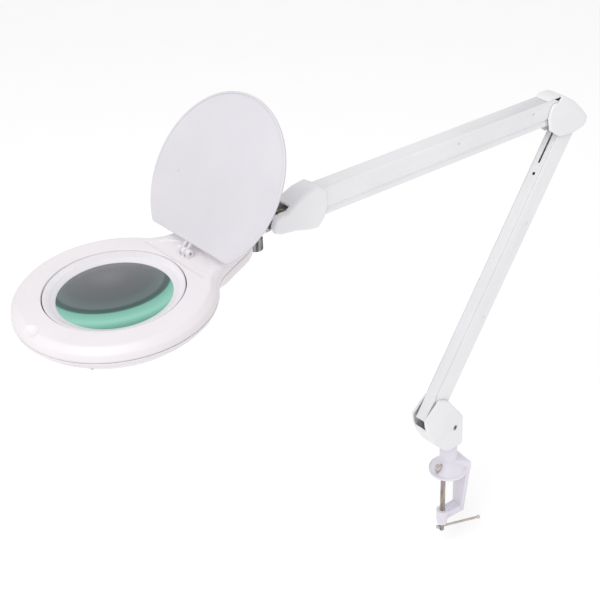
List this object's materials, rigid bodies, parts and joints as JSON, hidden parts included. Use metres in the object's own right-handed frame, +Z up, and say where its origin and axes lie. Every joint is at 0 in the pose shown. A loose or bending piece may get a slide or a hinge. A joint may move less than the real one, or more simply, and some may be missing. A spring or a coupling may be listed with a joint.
{
  "type": "magnifying lamp",
  "caption": "Clamp-on magnifying lamp: a lit lens head with a hinged cover on two level-keeping arms, a tilt and swivel joint, and a screw clamp for a table edge.",
  "frame": {"origin": "On the swivel post's axis, on the underside of the clamp's upper jaw, where it rests on a table top", "axes": "+Z up along the post; -X the way the arms and the lens head reach at rest; Y across the arms"},
  "size_m": [0.8655, 0.218, 0.8109],
  "materials": {
    "white_steel": "gloss powder coat",
    "white_plastic": "satin",
    "head_plastic": "satin",
    "bezel_plastic": "satin",
    "cover_plastic": "satin",
    "clamp_paint": "satin",
    "dark_steel": "oiled",
    "bright_steel": "satin",
    "zinc_steel": "passivated zinc",
    "chrome": "polished",
    "spring_steel": "satin",
    "black_rubber": "matte",
    "nylon": "satin",
    "optical_glass": "polished",
    "circuit_board": "satin",
    "led_body": "gloss",
    "diffuser": "frosted",
    "button_plastic": "satin"
  },
  "bodies": {
    "clamp": {"clamp_frame": "clamp_paint", "post_bush": "nylon"},
    "pressure_foot": {"pressure_disc": "dark_steel", "pressure_pad": "black_rubber"},
    "clamp_screw": {"clamp_screw": "dark_steel"},
    "tommy_bar": {"tommy_bar": "bright_steel", "tommy_bar_ends": "bright_steel"},
    "thumb_screw": {"post_thumb_screw": "bright_steel"},
    "knuckle": {"knuckle_frame": "zinc_steel", "knuckle_cover_right": "white_plastic", "knuckle_cover_left": "white_plastic", "knuckle_cover_screw": "dark_steel", "shoulder_pins": "zinc_steel", "shoulder_washers": "nylon", "cord_grommet": "black_rubber"},
    "lower_arm": {"lower_arm_outer_channel": "white_steel", "lower_arm_springs": "spring_steel", "lower_arm_spring_pins": "zinc_steel"},
    "lower_link": {"lower_arm_inner_channel": "white_steel"},
    "elbow": {"elbow_bracket": "zinc_steel", "elbow_cover_right": "white_plastic", "elbow_cover_left": "white_plastic", "elbow_cover_screw": "dark_steel", "elbow_pins": "zinc_steel", "elbow_washers": "nylon"},
    "upper_arm": {"upper_arm_outer_channel": "white_steel", "upper_arm_springs": "spring_steel", "upper_arm_spring_pins": "zinc_steel", "upper_arm_end_cap": "white_plastic"},
    "upper_link": {"upper_arm_inner_channel": "white_steel"},
    "head_bracket": {"head_bracket": "zinc_steel", "head_cover_right": "white_plastic", "head_cover_left": "white_plastic", "head_cover_screw": "dark_steel", "head_bracket_pins": "zinc_steel", "head_bracket_washers": "nylon", "tilt_bolt": "zinc_steel", "tilt_nut": "zinc_steel"},
    "tilt_link": {"tilt_link": "chrome", "tilt_washers": "nylon", "swivel_bolt": "chrome"},
    "head": {"swivel_barrel": "chrome", "swivel_pin": "zinc_steel", "head_top_shell": "head_plastic", "head_bottom_shell": "head_plastic", "head_screws": "dark_steel", "lens_bezel": "bezel_plastic", "lens": "optical_glass", "lens_gasket": "black_rubber", "led_board": "circuit_board", "leds": "led_body", "light_diffuser": "diffuser", "led_driver": "circuit_board", "power_switch": "button_plastic", "lens_cover_pin": "bright_steel"},
    "power_button": {"power_button": "button_plastic"},
    "lens_cover": {"lens_cover": "cover_plastic"}
  },
  "joints": [
    {"name": "post_swivel", "type": "hinge", "parent": "clamp", "child": "knuckle", "pos_m": [0, 0, 0.03], "axis": [0, 0, 1], "range_deg": [-170, 170]},
    {"name": "lower_arm_tilt", "type": "hinge", "parent": "knuckle", "child": "lower_arm", "pos_m": [-0.0329, 0, 0.122], "axis": [0, -1, 0], "range_deg": [-15, 30]},
    {"name": "lower_link_tilt", "type": "hinge", "parent": "knuckle", "child": "lower_link", "pos_m": [-0.04448, 0, 0.12791], "axis": [0, -1, 0], "range_deg": [-15, 30]},
    {"name": "elbow_level", "type": "hinge", "parent": "lower_arm", "child": "elbow", "pos_m": [0.2167, 0, 0.48435], "axis": [0, -1, 0], "range_deg": [-30, 15]},
    {"name": "upper_arm_tilt", "type": "hinge", "parent": "elbow", "child": "upper_arm", "pos_m": [0.188, 0, 0.51915], "axis": [0, 1, 0], "range_deg": [-22, 20]},
    {"name": "upper_link_tilt", "type": "hinge", "parent": "elbow", "child": "upper_link", "pos_m": [0.18597, 0, 0.5053], "axis": [0, 1, 0], "range_deg": [-22, 20]},
    {"name": "head_level", "type": "hinge", "parent": "upper_arm", "child": "head_bracket", "pos_m": [-0.25125, 0, 0.54487], "axis": [0, 1, 0], "range_deg": [-20, 22]},
    {"name": "head_tilt", "type": "hinge", "parent": "head_bracket", "child": "tilt_link", "pos_m": [-0.298, 0, 0.536], "axis": [0, 1, 0], "range_deg": [-70, 45]},
    {"name": "head_swivel", "type": "hinge", "parent": "tilt_link", "child": "head", "pos_m": [-0.328, 0, 0.52], "axis": [0, 0, 1], "range_deg": [-75, 75]},
    {"name": "lens_cover_hinge", "type": "hinge", "parent": "head", "child": "lens_cover", "pos_m": [-0.42402, 0, 0.54937], "axis": [0, 1, 0], "range_deg": [-127.1, 0]},
    {"name": "power_press", "type": "slide", "parent": "head", "child": "power_button", "axis": [-0.0359, 0, 0.9994], "range_m": [0, 0.0015], "stiffness_N_per_m": 600},
    {"name": "clamp_travel", "type": "slide", "parent": "clamp", "child": "pressure_foot", "axis": [0, 0, 1], "range_m": [-0.055, 0.002]},
    {"name": "screw_turn", "type": "hinge", "parent": "pressure_foot", "child": "clamp_screw", "pos_m": [-0.00793, 0.00104, -0.06], "axis": [0, 0, 1], "range_deg": [-15900, 600]},
    {"name": "tommy_slide", "type": "slide", "parent": "clamp_screw", "child": "tommy_bar", "axis": [0.9178, -0.3971, 0], "range_m": [-0.052, 0]},
    {"name": "thumb_screw_turn", "type": "hinge", "parent": "clamp", "child": "thumb_screw", "pos_m": [-0.01992, -0.00174, 0.016], "axis": [-0.9962, -0.0872, 0], "range_deg": [-360, 0]}
  ],
  "couplings": [
    {"joint": "lower_link_tilt", "follows": "lower_arm_tilt", "ratio": 1},
    {"joint": "elbow_level", "follows": "lower_arm_tilt", "ratio": -1},
    {"joint": "upper_link_tilt", "follows": "upper_arm_tilt", "ratio": 1},
    {"joint": "head_level", "follows": "upper_arm_tilt", "ratio": -1},
    {"joint": "screw_turn", "follows": "clamp_travel", "rad_per_m": 5026.5}
  ]
}
